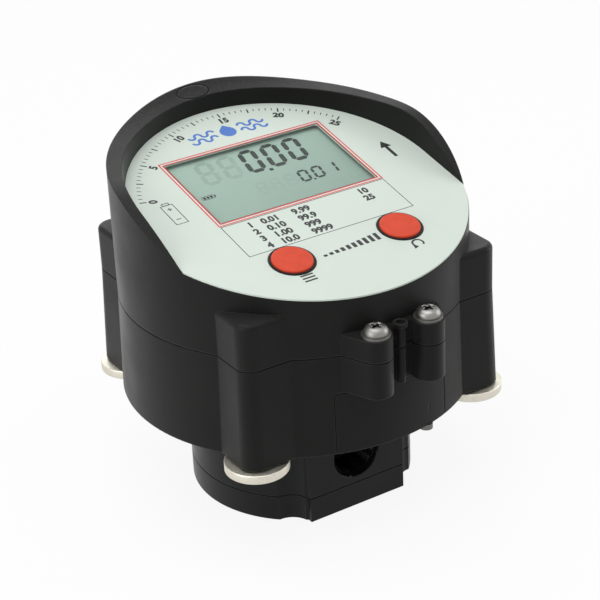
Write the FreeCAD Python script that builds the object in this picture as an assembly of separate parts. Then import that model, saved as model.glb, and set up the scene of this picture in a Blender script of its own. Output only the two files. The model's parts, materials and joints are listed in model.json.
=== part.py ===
import FreeCAD, Part
import math
import os

os.makedirs("parts", exist_ok=True)

# Turbine flow meter: a round flow body with a turbine in its chamber carries a
# battery-powered display head.  Millimetres, +Z up, origin at the centre of the
# flat base.  -Y is the reading side, where one port, the front screws and the
# battery drawer are.

V = FreeCAD.Vector

# ---- fits and clearances ----------------------------------------------------
seat_gap = 0.05          # a shank in its screwed hole, or a plug in its pocket
running_gap = 0.05       # radial, shaft in bush
slide_gap = 0.35         # a sliding piece in its guide
parting_gap = 0.1        # between pieces that are bolted together
clearance_hole = 0.3     # radial, round a screw that passes through
overrun = 1.0            # how far a tapped hole runs past its screw, or a cut past its piece

# ---- flow body ----------------------------------------------------------------
body_radius = 45.5
body_top = 45.0
port_face = 41.8         # distance of each flat port face from the axis
port_half_width = 22.4
scallop_radius = 8.6     # hollow beside each port block
scallop_x = 31.5
scallop_y = 41.3
cover_height = 10.4
cover_spigot = 2.6
port_height = 24.2
port_radius = 9.3155     # wall of a G 1/2 thread at its minor diameter
port_depth = 14.0
port_mouth_radius = 11.0
port_chamfer = 1.7
passage_radius = 4.5
passage_angle = 32.0     # turns the flow to one side of the wheel, degrees

chamber_radius = 24.0
chamber_roof = 35.5
cover_bolt_circle = 37.0
cover_bolt_angles = (0, 55, 125, 180, 235, 305)
cover_bolt_radius = 2.5
cover_bolt_reach = 12.0
cover_head_radius = 4.25
cover_head_height = 5.0
cover_head_sink = 0.5    # head lies this far above the base
hex_socket = 2.3         # half width across the corners
hex_depth = 2.5
corner_hex_depth = 1.5
chamber_ring_radius = 28.0
chamber_ring_cord = 1.0

# ---- turbine --------------------------------------------------------------------
wheel_clearance = 1.2
hub_radius = 7.0
wheel_bottom = 15.0
wheel_top = 33.5
web_thickness = 2.0
blade_count = 10
blade_thickness = 1.4
blade_curve = 15.0
blade_root = 0.6         # how deep a blade runs into the hub
shaft_radius = 1.5
shaft_end_play = 0.2
bush_radius = 3.0
bush_depth = 3.0
bush_play = 0.15         # between the end of a bush and the hub
magnet_radius = 2.0
magnet_height = 3.0
magnet_circle = 4.6
magnet_count = 2
sensor_pocket_radius = 9.5
sensor_pocket_floor = 41.0
sensor_board_half = 6.0
sensor_board_thickness = 1.6
sensor_half = (2.0, 1.5)
sensor_height = 1.5

# ---- head: drum, lobes, parting line -------------------------------------------
drum_radius = 70.0
lower_flare = 1.2        # the lower shell widens by this much to its bottom
head_bottom = body_top
seam_height = 86.1
gasket_thickness = 0.5
gasket_inset = 0.55      # shows as a fine groove round the head
wall = 3.5
floor_thickness = 4.0
lobe_margin = 7.7        # from a corner screw to the lobes' sides
lobe_corner = 6.5
lobe_rise = 18.9         # of the lobes' tops above the seam
lobe_edge = 2.0
corner_reach = 0.93      # of the corner screws beyond the drum's skin
corner_angle = 44.6      # of the corner screws from the cross line, degrees

# ---- head: sloping face and hood --------------------------------------------------
face_tilt = 12.2
face_rise = 37.9         # of the label's surface above the seam, on the axis
label_thickness = 0.6
label_gap = 0.2
deck_thickness = 3.0
hood_side = 5.6          # width of the hood's rim beside the label
well_shift = -1.0        # of the well's centre, up the slope from the axis
well_draft = 0.15        # the well widens by this share of its height
# side view of the hood's crest behind the point where it leaves the label: y, height above the seam
hood_crest = ((0.0, 47.2), (12.0, 51.0), (25.0, 52.7),
              (45.0, 55.2), (60.0, 58.1), (drum_radius, 61.8))
gate_mark_half = (7.6, 4.2)
gate_mark_x = -4.1
gate_mark_inset = 4.8    # of its centre from the back of the hood
gate_mark_groove = 0.6
gate_mark_depth = 0.5

# ---- head: display and keys ---------------------------------------------------------
window_half = (35.8, 21.7)
window_centre = 13.6     # up the slope from the axis
window_thickness = 1.6
window_overlap = 3.0
window_corner = 1.0
lcd_overlap = 1.2
lcd_thickness = 2.8
key_x = 24.5
key_place = -40.6        # up the slope from the axis
key_radius = 8.0
key_rise = 1.1
key_edge = 0.6
key_wall = 1.6
key_flange = 1.4
key_flange_height = 1.4
key_travel = 0.8
key_gap = 0.15
key_stem_radius = 2.6
bezel_radius = 9.0
bezel_rise = 0.3
plunger_radius = 1.75
plunger_overlap = 1.2    # length of plunger inside the switch at rest
switch_half = 3.0
switch_height = 4.0
board_drop = 15.0        # top of the circuit board below the label's surface
board_thickness = 1.6
board_inset = (22.0, 24.5)           # of the board's sides inside the head's wall
board_shift = -4.0
board_corner = 4.0
board_screw_radius = 1.5
board_screw_head = 2.8
board_screw_head_height = 2.0
board_screw_length = 8.0
board_post_radius = 3.4
board_post_inset = 3.6

# ---- head: front bosses and seal post --------------------------------------------------
boss_x = 11.8
boss_reach = 4.8         # of the bosses' centres in front of the drum
boss_radius = 6.2
boss_rise = 8.9          # of the bosses' tops above the seam
boss_bottom = 71.2
boss_foot_x = 21.9       # where the boss's flank runs into the drum
seal_web_reach = 2.2
seal_post_reach = 3.4
seal_post_radius = 1.8
seal_collar_radius = 2.8
seal_collar_floor = 0.4
seal_rise = 10.1         # of the seal collar's top above the seam
seal_hole_radius = 1.9
front_screw_radius = 2.5
front_screw_length = 19.0
front_head_radius = 4.8
front_head_height = 3.2
front_head_crown = 1.9
front_washer_radius = 5.6
front_washer_height = 1.0

# ---- head: corner screws and their big washers --------------------------------------------
foot_radius = 8.0
foot_height = 1.0
corner_washer_radius = 12.5
corner_washer_height = 3.6
corner_screw_radius = 3.0
corner_screw_top = 98.0
corner_head_radius = 5.0
corner_head_height = 3.0
pillar_radius = 6.5

# ---- battery drawer ------------------------------------------------------------------------
drawer_half_width = 25.0
drawer_top = 70.3
drawer_skin = 4.0
tray_floor = 2.4
tray_wall = 1.6
tray_height = 12.0
tray_reach = 8.0         # from the outside of the drum back to the tray's front
cell_radius = 7.1        # three AA cells in series
cell_length = 49.5
cell_nub_radius = 2.7
cell_nub = 1.0
cell_count = 3
cell_gap = 0.25
contact_thickness = 0.4
contact_half = 3.0       # half width of a contact behind one cell
contact_height = 10.0
return_width = 2.4       # of the strip that leads the front end of the chain back
return_height = 2.0
bay_inset = 3.0          # of the guides behind the tray's front
bay_wall = 2.0
bay_height = 12.0
bay_contact_half = 0.9
bay_contact_height = 6.0
bay_contact_rise = 2.0   # above the tray's floor
drawer_screw_x = 15.5
drawer_screw_inset = 2.4
drawer_screw_radius = 1.3
drawer_screw_length = 8.0
drawer_screw_head = 2.6
drawer_screw_head_height = 2.2

# ---- head fastening ---------------------------------------------------------------------------
head_bolt_circle = 36.5
head_bolt_angles = (30, 150, 210, 330)
head_bolt_radius = 2.5
head_bolt_reach = 11.0
head_bolt_head = 4.25
head_bolt_head_height = 3.5

# ---- sizes that follow from the ones above -----------------------------------------------------
wheel_radius = chamber_radius - wheel_clearance
corner_x = (drum_radius + corner_reach) * math.cos(math.radians(corner_angle))
corner_y = (drum_radius + corner_reach) * math.sin(math.radians(corner_angle))
lobe_half_side = corner_x + lobe_margin
well_radius = drum_radius - hood_side
boss_y = -drum_radius - boss_reach
seal_web_front = -drum_radius - seal_web_reach
seal_post_y = -drum_radius - seal_post_reach
tray_front = tray_reach - drum_radius
bay_front = tray_front + bay_inset
drawer_screw_y = drawer_screw_inset - drum_radius
chamber_floor = cover_height + cover_spigot
shell_joint_low = seam_height - gasket_thickness / 2
shell_joint_high = seam_height + gasket_thickness / 2
lobe_top = seam_height + lobe_rise
boss_top = seam_height + boss_rise
face_height = seam_height + face_rise
seal_top = seam_height + seal_rise
cavity_radius = drum_radius - wall
board_half = [cavity_radius - inset for inset in board_inset]
beyond = 3 * drum_radius             # a reach that is safely outside the head
hood_front = -math.sqrt(drum_radius ** 2 - well_radius ** 2)
deck_under = -(label_thickness + deck_thickness)
washer_top = head_bottom - foot_height
tray_bottom = head_bottom + floor_thickness + slide_gap
cell_pitch = 2 * cell_radius + cell_gap
tray_half = (cell_count * cell_pitch + cell_gap) / 2
cells_front = tray_front + tray_wall + 2 * contact_thickness
cells_back = cells_front + cell_length + cell_nub
tray_back = cells_back + 2 * contact_thickness + tray_wall
bay_back = tray_back + slide_gap
end_cell_x = (cell_count - 1) / 2 * cell_pitch
return_x = tray_half - return_width / 2
corners = [(sx * corner_x, sy * corner_y) for sx in (-1, 1) for sy in (-1, 1)]
both = (-1, 1)


def save(name, shape):
    shape.exportStep("parts/" + name + ".step")


def cyl(radius, z0, z1, x=0.0, y=0.0):
    return Part.makeCylinder(radius, z1 - z0, V(x, y, z0))


def tube(outer, inner, z0, z1, x=0.0, y=0.0):
    return cyl(outer, z0, z1, x, y).cut(cyl(inner, z0 - 1, z1 + 1, x, y))


def block(x0, x1, y0, y1, z0, z1):
    return Part.makeBox(x1 - x0, y1 - y0, z1 - z0, V(x0, y0, z0))


def rounded_plate(half_x, half_y, corner, z0, z1, centre_y=0.0):
    plate = block(-half_x, half_x, centre_y - half_y, centre_y + half_y, z0, z1)
    uprights = [e for e in plate.Edges if abs(e.Vertexes[0].Z - e.Vertexes[1].Z) > 0.01]
    return plate.makeFillet(corner, uprights)


def prism(points, z0, z1):
    outline = [V(x, y, z0) for x, y in points]
    return Part.Face(Part.makePolygon(outline + outline[:1])).extrude(V(0, 0, z1 - z0))


def polar(radius, degrees):
    angle = math.radians(degrees)
    return radius * math.cos(angle), radius * math.sin(angle)


def group(shapes):
    return Part.makeCompound(list(shapes))


def fused(shapes):
    shapes = list(shapes)
    return shapes[0].multiFuse(shapes[1:]).removeSplitter()


def cut_all(shape, tools):
    for tool in tools:
        shape = shape.cut(tool)
    return shape


def slope_z(y):
    """Height of the label's surface at a distance y from the axis."""
    return face_height + math.tan(math.radians(face_tilt)) * y


def on_slope(shape):
    """Turn a shape drawn flat, with z = 0 at the label's surface, onto the slope."""
    shape.rotate(V(0, 0, 0), V(1, 0, 0), face_tilt)
    shape.translate(V(0, 0, face_height))
    return shape


def below_slope(depth):
    """Everything under the plane that lies depth below the label's surface."""
    drop = depth / math.cos(math.radians(face_tilt))
    side = [V(-beyond, -beyond, 0), V(-beyond, beyond, 0),
            V(-beyond, beyond, slope_z(beyond) - drop),
            V(-beyond, -beyond, slope_z(-beyond) - drop)]
    return Part.Face(Part.makePolygon(side + side[:1])).extrude(V(2 * beyond, 0, 0))


# ---- flow body -----------------------------------------------------------------------------------
def body_outline(z0, z1):
    """Round body with a flat block for each port and a hollow beside each block."""
    drum = cyl(body_radius, z0, z1)
    drum = drum.common(block(-body_radius, body_radius, -port_face, port_face, z0, z1))
    for sx in both:
        for sy in both:
            drum = drum.cut(cyl(scallop_radius, z0, z1, sx * scallop_x, sy * scallop_y))
    ports = block(-port_half_width, port_half_width, -port_face, port_face, z0, z1)
    return drum.fuse(ports).removeSplitter()


def port_cuts(side):
    """Threaded bore, its chamfered mouth and the slanting passage to the chamber."""
    mouth = V(0, side * port_face, port_height)
    inward = V(0, -side, 0)
    bore = Part.makeCylinder(port_radius, port_depth, mouth, inward)
    chamfer = Part.makeCone(port_mouth_radius, port_radius, port_chamfer, mouth, inward)
    start = V(0, side * (port_face - port_depth + passage_radius), port_height)
    angle = math.radians(passage_angle)
    turned = V(math.sin(angle), -side * math.cos(angle), 0)
    passage = Part.makeCylinder(passage_radius, chamber_radius, start, turned)
    return [bore, chamfer, passage]


def at_cover_bolts(make):
    return [make(*polar(cover_bolt_circle, a)) for a in cover_bolt_angles]


def at_head_bolts(make):
    return [make(*polar(head_bolt_circle, a)) for a in head_bolt_angles]


def hexagon(radius, z0, z1, x, y):
    return prism([(x + px, y + py) for px, py in (polar(radius, 60 * i) for i in range(6))], z0, z1)


def meter_body():
    base = cover_height + parting_gap
    body = body_outline(base, body_top)
    body = body.cut(cyl(chamber_radius, base, chamber_roof))
    for side in both:
        body = cut_all(body, port_cuts(side))
    body = body.cut(cyl(bush_radius + seat_gap, chamber_roof, chamber_roof + bush_depth))
    body = body.cut(cyl(sensor_pocket_radius, sensor_pocket_floor, body_top))
    top = cover_height + cover_bolt_reach + overrun
    body = cut_all(body, at_cover_bolts(lambda x, y: cyl(cover_bolt_radius + seat_gap, base, top, x, y)))
    low = body_top - head_bolt_reach - overrun
    return cut_all(body, at_head_bolts(lambda x, y: cyl(head_bolt_radius + seat_gap, low, body_top, x, y)))


def ring_centre():
    return cover_height + parting_gap - chamber_ring_cord


def bottom_cover():
    cover = body_outline(0, cover_height)
    cover = cover.fuse(cyl(chamber_radius - slide_gap, cover_height, chamber_floor))
    cover = cover.cut(tube(chamber_ring_radius + chamber_ring_cord, chamber_ring_radius - chamber_ring_cord,
                           ring_centre() - chamber_ring_cord, cover_height))
    cover = cover.cut(cyl(bush_radius + seat_gap, chamber_floor - bush_depth, chamber_floor))
    hole = cover_bolt_radius + clearance_hole
    cover = cut_all(cover, at_cover_bolts(lambda x, y: cyl(hole, 0, cover_height, x, y)))
    sink = cover_head_radius + clearance_hole
    depth = cover_head_sink + cover_head_height
    return cut_all(cover, at_cover_bolts(lambda x, y: cyl(sink, 0, depth, x, y)))


def cover_screw(x, y):
    top = cover_head_sink + cover_head_height
    screw = cyl(cover_head_radius, cover_head_sink, top, x, y)
    screw = screw.fuse(cyl(cover_bolt_radius, top, cover_height + cover_bolt_reach, x, y))
    return screw.cut(hexagon(hex_socket, cover_head_sink, cover_head_sink + hex_depth, x, y))


save("meter_body", meter_body())
save("bottom_cover", bottom_cover())
save("chamber_o_ring", Part.makeTorus(chamber_ring_radius, chamber_ring_cord, V(0, 0, ring_centre())))
save("cover_screws", group(at_cover_bolts(cover_screw)))


# ---- turbine --------------------------------------------------------------------------------------
def blade():
    """One blade, bent backwards from the hub to the wheel's rim."""
    x0 = hub_radius - blade_root
    half = blade_thickness / 2
    arc = tube(blade_curve + half, blade_curve - half, wheel_bottom, wheel_top, x0, blade_curve)
    reach = blade_curve + half
    quarter = block(x0, x0 + reach, -half, blade_curve, wheel_bottom, wheel_top)
    return arc.common(quarter).common(cyl(wheel_radius, wheel_bottom, wheel_top))


def at_magnets(make):
    return [make(*polar(magnet_circle, 360 * i / magnet_count)) for i in range(magnet_count)]


def turbine_rotor():
    pieces = [cyl(hub_radius, wheel_bottom, wheel_top)]
    pieces.append(cyl(wheel_radius - wheel_clearance, wheel_bottom, wheel_bottom + web_thickness))
    for i in range(blade_count):
        turned = blade()
        turned.rotate(V(0, 0, 0), V(0, 0, 1), 360 * i / blade_count)
        pieces.append(turned)
    wheel = fused(pieces)
    wheel = wheel.cut(cyl(shaft_radius, wheel_bottom, wheel_top))
    low = wheel_top - magnet_height
    return cut_all(wheel, at_magnets(lambda x, y: cyl(magnet_radius + seat_gap, low, wheel_top, x, y)))


def bush(z0, z1):
    return tube(bush_radius, shaft_radius + running_gap, z0, z1)


save("turbine_rotor", turbine_rotor())
save("rotor_magnets", group(at_magnets(lambda x, y: cyl(magnet_radius, wheel_top - magnet_height,
                                                        wheel_top, x, y))))
save("rotor_shaft", cyl(shaft_radius, chamber_floor - bush_depth + shaft_end_play,
                        chamber_roof + bush_depth - shaft_end_play))
save("lower_bush", bush(chamber_floor - bush_depth, wheel_bottom - bush_play))
save("upper_bush", bush(wheel_top + bush_play, chamber_roof + bush_depth))

sensor_top = sensor_pocket_floor + sensor_height
save("hall_sensor", block(-sensor_half[0], sensor_half[0], -sensor_half[1], sensor_half[1],
                          sensor_pocket_floor, sensor_top))
save("sensor_board", rounded_plate(sensor_board_half, sensor_board_half, 1.0,
                                   sensor_top, sensor_top + sensor_board_thickness))


# ---- head: the two shells ----------------------------------------------------------------------------
def lobes(half0, half1, z0, z1, corner):
    """Square block with rounded corners, whose side may change with height."""
    rings = []
    for half, z in ((half0, z0), (half1, z1)):
        ring = [V(-half, -half, z), V(half, -half, z), V(half, half, z), V(-half, half, z)]
        rings.append(Part.makePolygon(ring + ring[:1]))
    solid = Part.makeLoft(rings, True, True)
    uprights = [e for e in solid.Edges if abs(e.Vertexes[0].Z - e.Vertexes[1].Z) > 0.01]
    return solid.makeFillet(corner, uprights)


def front_bosses(z0, z1):
    """Two screw bosses whose outer flanks run out tangent to the drum, and the web between."""
    root = -math.sqrt(cavity_radius ** 2 - boss_foot_x ** 2)
    foot = -math.sqrt(drum_radius ** 2 - boss_foot_x ** 2)
    pieces = []
    for side in both:
        x = side * boss_x
        reach = math.hypot(boss_foot_x - boss_x, foot - boss_y)
        turn = math.atan2(foot - boss_y, boss_foot_x - boss_x) - math.acos(boss_radius / reach)
        touch = (x + side * boss_radius * math.cos(turn), boss_y + boss_radius * math.sin(turn))
        inner = x - side * boss_radius
        flank = [touch, (side * boss_foot_x, foot), (side * boss_foot_x, root), (inner, root),
                 (inner, boss_y), (x, boss_y)]
        pieces.append(cyl(boss_radius, z0, z1, x, boss_y))
        pieces.append(prism(flank, z0, z1))
    pieces.append(block(-boss_x, boss_x, seal_web_front, root, z0, z1))
    pieces.append(cyl(seal_post_radius, z0, z1, 0, seal_post_y))
    return fused(pieces)


def at_bosses(make):
    return [make(side * boss_x, boss_y) for side in both]


def hood_trim():
    """What is cut away above the label and above the hood's crest, in side view."""
    drop = label_thickness / math.cos(math.radians(face_tilt))
    start = V(-beyond, hood_front, slope_z(hood_front))
    crest = Part.BSplineCurve()
    outline = [V(-beyond, y, seam_height + rise) for y, rise in hood_crest]
    crest.interpolate([start] + outline)
    end = outline[-1]
    rim = [end, V(-beyond, beyond, end.z), V(-beyond, beyond, 2 * beyond), V(-beyond, -beyond, 2 * beyond),
           V(-beyond, -beyond, slope_z(-beyond) - drop),
           V(-beyond, hood_front, slope_z(hood_front) - drop), start]
    outline = Part.Wire([crest.toShape()] + Part.makePolygon(rim).Edges)
    return Part.Face(outline).extrude(V(2 * beyond, 0, 0))


def well(inset, z0, z1):
    """Inside of the hood, drawn flat: round at the back, open towards the reader, wider upwards."""
    low = well_radius - inset + well_draft * z0
    high = well_radius - inset + well_draft * z1
    round_part = Part.makeCone(low, high, z1 - z0, V(0, well_shift, z0))
    section = [V(-low, well_shift, z0), V(low, well_shift, z0), V(high, well_shift, z1),
               V(-high, well_shift, z1)]
    front = Part.Face(Part.makePolygon(section + section[:1])).extrude(V(0, -beyond, 0))
    return round_part.fuse(front).removeSplitter()


def oval(half_x, half_y, z0, z1, x, y):
    outline = Part.Wire(Part.Ellipse(V(x, y, z0), half_x, half_y).toShape())
    return Part.Face(outline).extrude(V(0, 0, z1 - z0))


def window_plate(overlap, z0, z1):
    return on_slope(rounded_plate(window_half[0] + overlap, window_half[1] + overlap,
                                  window_corner, z0, z1, window_centre))


def at_keys(make):
    return [make(side * key_x, key_place) for side in both]


def at_board_posts(make):
    x = board_half[0] - board_post_inset
    y = board_half[1] - board_post_inset
    return [make(sx * x, board_shift + sy * y) for sx in both for sy in both]


def upper_housing():
    drum = cyl(drum_radius, shell_joint_high, beyond)
    ears = lobes(lobe_half_side, lobe_half_side, shell_joint_high, lobe_top, lobe_corner)
    crown = [e for e in ears.Edges if min(v.Z for v in e.Vertexes) > lobe_top - 0.01]
    shell = drum.fuse(ears.makeFillet(lobe_edge, crown))
    shell = shell.cut(hood_trim())
    shell = shell.cut(on_slope(well(0, -label_thickness, drum_radius)))
    cavity = cyl(cavity_radius, shell_joint_high, beyond)
    shell = shell.cut(cavity.common(below_slope(label_thickness + deck_thickness)))
    shell = shell.fuse([cyl(pillar_radius, shell_joint_high, corner_screw_top + wall, x, y)
                        for x, y in corners])
    shell = shell.fuse(front_bosses(shell_joint_high, boss_top))
    shell = shell.fuse(cyl(seal_collar_radius, boss_top - seal_collar_floor, seal_top, 0, seal_post_y))
    posts = at_board_posts(lambda x, y: cyl(board_post_radius, -board_drop, deck_under, x, y))
    shell = shell.fuse([on_slope(p) for p in posts])

    cuts = [cyl(corner_screw_radius + seat_gap, shell_joint_high, corner_screw_top + overrun, x, y)
            for x, y in corners]
    cuts += at_bosses(lambda x, y: cyl(front_screw_radius + clearance_hole,
                                       shell_joint_high, boss_top, x, y))
    cuts.append(cyl(seal_hole_radius, boss_top, seal_top, 0, seal_post_y))
    window_seat = -label_thickness - window_thickness - seat_gap
    cuts.append(window_plate(window_overlap + seat_gap, window_seat, overrun))
    cuts.append(window_plate(lcd_overlap + label_gap, deck_under - overrun, overrun))
    keys = at_keys(lambda x, y: cyl(key_radius + key_gap, deck_under - overrun, overrun, x, y))
    pilots = at_board_posts(lambda x, y: cyl(board_screw_radius + seat_gap, -board_drop,
                                             -board_drop + board_screw_length + overrun, x, y))
    cuts += [on_slope(c) for c in keys + pilots]
    place = (0, beyond, gate_mark_x, drum_radius - gate_mark_inset)
    mark = oval(*gate_mark_half, *place)
    mark = mark.cut(oval(*(half - gate_mark_groove for half in gate_mark_half), *place))
    lowered = hood_trim()
    lowered.translate(V(0, 0, -gate_mark_depth))
    cuts.append(mark.common(lowered))
    return cut_all(shell, cuts)


def lower_outline():
    """Drum and lobes of the lower shell, flared to the bottom, without their holes."""
    height = shell_joint_low - head_bottom
    drum = Part.makeCone(drum_radius + lower_flare, drum_radius, height, V(0, 0, head_bottom))
    ears = lobes(lobe_half_side + lower_flare, lobe_half_side, head_bottom, shell_joint_low, lobe_corner)
    return drum.fuse(ears)


def drawer_space(gap):
    """Stretch of the drum's front wall that belongs to the battery drawer."""
    half = drawer_half_width + gap
    inner = drum_radius - drawer_skin - gap
    front = block(-half, half, -beyond, 0, head_bottom, drawer_top + gap)
    return front.cut(cyl(inner, head_bottom, drawer_top + gap))


def bay_walls():
    """Guides on each side of the drawer's tray and a stop behind it."""
    floor = head_bottom + floor_thickness
    side = tray_half + tray_wall + slide_gap
    outer = block(-side - bay_wall, side + bay_wall, bay_front, bay_back + bay_wall,
                  floor, floor + bay_height)
    return outer.cut(block(-side, side, bay_front, bay_back, floor, floor + bay_height))


def lower_housing():
    floor = head_bottom + floor_thickness
    shell = lower_outline()
    shell = shell.cut(cyl(cavity_radius, floor, shell_joint_low))
    pillars = [cyl(pillar_radius, floor, shell_joint_low, x, y) for x, y in corners]
    feet = [cyl(foot_radius, washer_top, head_bottom, x, y) for x, y in corners]
    shell = shell.fuse(pillars + feet)
    shell = shell.fuse(front_bosses(boss_bottom, shell_joint_low))
    shell = shell.cut(drawer_space(slide_gap))
    side = tray_half + tray_wall + slide_gap
    shell = shell.cut(block(-side, side, -drum_radius, tray_front, floor, drawer_top + slide_gap))
    shell = shell.fuse(bay_walls())

    cuts = [cyl(corner_screw_radius + clearance_hole, washer_top, shell_joint_low, x, y)
            for x, y in corners]
    tip = boss_top + front_washer_height - front_screw_length
    cuts += at_bosses(lambda x, y: cyl(front_screw_radius + seat_gap, tip - overrun, shell_joint_low, x, y))
    cuts += at_head_bolts(lambda x, y: cyl(head_bolt_radius + clearance_hole, head_bottom, floor, x, y))
    cuts.append(cyl(sensor_pocket_radius, head_bottom, floor))
    return cut_all(shell, cuts)


def housing_gasket():
    z0 = shell_joint_low
    z1 = shell_joint_high
    half = lobe_half_side - gasket_inset
    plate = cyl(drum_radius - gasket_inset, z0, z1).fuse(lobes(half, half, z0, z1, lobe_corner))
    plate = plate.cut(cyl(cavity_radius, z0, z1))
    hole = corner_screw_radius + clearance_hole
    return cut_all(plate, [cyl(hole, z0, z1, x, y) for x, y in corners])


save("upper_housing", upper_housing())
save("lower_housing", lower_housing())
save("housing_gasket", housing_gasket())


# ---- head: label, display, keys and board ---------------------------------------------------------------
def face_label():
    hood_start = hood_front / math.cos(math.radians(face_tilt)) - label_gap
    label = well(label_gap, -label_thickness, 0)
    label = label.fuse(block(-beyond, beyond, -beyond, hood_start, -label_thickness, 0))
    label = on_slope(label).common(cyl(drum_radius - label_gap, head_bottom, beyond))
    label = label.cut(window_plate(0, -label_thickness, 0))
    holes = at_keys(lambda x, y: cyl(bezel_radius + label_gap, -label_thickness, 0, x, y))
    return cut_all(label, [on_slope(h) for h in holes])


def key_cap(x, y):
    """Button with a soft top edge, hollow inside round a stem, and a flange that holds it in."""
    cap = cyl(key_radius, deck_under - key_flange_height, key_rise, x, y)
    rim = [e for e in cap.Edges if min(v.Z for v in e.Vertexes) > key_rise - 0.01]
    cap = cap.makeFillet(key_edge, rim)
    flange_top = deck_under - seat_gap
    cap = cap.fuse(cyl(key_radius + key_flange, deck_under - key_flange_height, flange_top, x, y))
    hollow = tube(key_radius - key_wall, key_stem_radius, deck_under - key_flange_height,
                  key_rise - key_wall, x, y)
    stem_end = -board_drop + switch_height + key_travel + slide_gap
    cap = cap.cut(hollow)
    return cap.fuse(cyl(key_stem_radius, stem_end, deck_under, x, y)).removeSplitter()


def key_plunger(x, y):
    top = -board_drop + switch_height
    return cyl(plunger_radius, top - plunger_overlap, top + key_travel + slide_gap, x, y)


def key_bezel(x, y):
    return tube(bezel_radius, key_radius + key_gap, -label_thickness, bezel_rise, x, y)


def tact_switch(x, y):
    top = -board_drop + switch_height
    case = block(x - switch_half, x + switch_half, y - switch_half, y + switch_half, -board_drop, top)
    depth = plunger_overlap + key_travel + slide_gap
    return case.cut(cyl(plunger_radius + key_gap, top - depth, top, x, y))


def circuit_board():
    board = rounded_plate(board_half[0], board_half[1], board_corner,
                          -board_drop - board_thickness, -board_drop, board_shift)
    hole = board_screw_radius + clearance_hole
    return cut_all(board, at_board_posts(lambda x, y: cyl(hole, -board_drop - board_thickness,
                                                          -board_drop, x, y)))


def board_screw(x, y):
    seat = -board_drop - board_thickness
    head = cyl(board_screw_head, seat - board_screw_head_height, seat, x, y)
    return head.fuse(cyl(board_screw_radius, seat, -board_drop + board_screw_length, x, y))


save("face_label", face_label())
save("display_window", window_plate(window_overlap, -label_thickness - window_thickness, -label_thickness))
lcd_top = -label_thickness - window_thickness - 2 * seat_gap
save("lcd_panel", window_plate(lcd_overlap, lcd_top - lcd_thickness, lcd_top))
left_key, right_key = at_keys(key_cap)
save("function_button", on_slope(left_key))
save("reset_button", on_slope(right_key))
left_plunger, right_plunger = at_keys(key_plunger)
save("function_plunger", on_slope(left_plunger))
save("reset_plunger", on_slope(right_plunger))
save("button_bezels", on_slope(group(at_keys(key_bezel))))
save("tact_switches", on_slope(group(at_keys(tact_switch))))
save("circuit_board", on_slope(circuit_board()))
save("board_screws", on_slope(group(at_board_posts(board_screw))))


# ---- head: screws and washers ----------------------------------------------------------------------
def front_screw(x, y):
    seat = boss_top + front_washer_height
    head = cyl(front_head_radius, seat, seat + front_head_height, x, y)
    crown = [e for e in head.Edges if min(v.Z for v in e.Vertexes) > seat + front_head_height - 0.01]
    head = head.makeFillet(front_head_crown, crown)
    return head.fuse(cyl(front_screw_radius, seat - front_screw_length, seat, x, y))


def front_washer(x, y):
    return tube(front_washer_radius, front_screw_radius + clearance_hole, boss_top,
                boss_top + front_washer_height, x, y)


def corner_washer(x, y):
    return tube(corner_washer_radius, corner_screw_radius + clearance_hole,
                washer_top - corner_washer_height, washer_top, x, y)


def corner_screw(x, y):
    seat = washer_top - corner_washer_height
    screw = cyl(corner_head_radius, seat - corner_head_height, seat, x, y)
    screw = screw.fuse(cyl(corner_screw_radius, seat, corner_screw_top, x, y))
    low = seat - corner_head_height
    return screw.cut(hexagon(hex_socket, low, low + corner_hex_depth, x, y))


def head_screw(x, y):
    seat = head_bottom + floor_thickness
    screw = cyl(head_bolt_head, seat, seat + head_bolt_head_height, x, y)
    screw = screw.fuse(cyl(head_bolt_radius, head_bottom - head_bolt_reach, seat, x, y))
    top = seat + head_bolt_head_height
    return screw.cut(hexagon(hex_socket, top - hex_depth, top, x, y))


save("front_screws", group(at_bosses(front_screw)))
save("front_washers", group(at_bosses(front_washer)))
save("corner_washers", group([corner_washer(x, y) for x, y in corners]))
save("corner_screws", group([corner_screw(x, y) for x, y in corners]))
save("head_screws", group(at_head_bolts(head_screw)))


# ---- battery drawer -------------------------------------------------------------------------
def drawer_screw_tool(radius, z0, z1):
    return cyl(radius, z0, z1, drawer_screw_x, drawer_screw_y)


def battery_drawer():
    skin = lower_outline().common(drawer_space(0))
    outer = tray_half + tray_wall
    top = tray_bottom + tray_height
    tray = block(-outer, outer, tray_front, tray_back, tray_bottom, top)
    tray = tray.cut(block(-tray_half, tray_half, tray_front + tray_wall, tray_back - tray_wall,
                          tray_bottom + tray_floor, top))
    link = block(-outer, outer, -drum_radius, tray_front, tray_bottom, top)
    link = link.common(cyl(drum_radius - drawer_skin, tray_bottom, top))
    link = link.cut(block(-outer + bay_wall, outer - bay_wall, -drum_radius, tray_front,
                          tray_bottom + tray_floor, top))
    drawer = fused([skin, tray, link])
    cuts = bay_contacts(slide_gap)
    cuts.append(drawer_screw_tool(drawer_screw_radius + seat_gap, head_bottom,
                                  head_bottom + drawer_screw_length + overrun))
    return cut_all(drawer, cuts)


def battery_cell(i):
    """Cell lying along Y; the nubs of neighbours point opposite ways."""
    x = i * cell_pitch - end_cell_x
    z = tray_bottom + tray_floor + cell_gap + cell_radius
    forward = i % 2 == 1
    can_start = cells_front + (cell_nub if forward else 0)
    can = Part.makeCylinder(cell_radius, cell_length, V(x, can_start, z), V(0, 1, 0))
    nub_start = cells_front if forward else cells_front + cell_length
    return can.fuse(Part.makeCylinder(cell_nub_radius, cell_nub, V(x, nub_start, z), V(0, 1, 0)))


def contact_plate(x0, x1, y0):
    z0 = tray_bottom + tray_floor
    return block(x0, x1, y0, y0 + contact_thickness, z0, z0 + contact_height)


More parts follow.
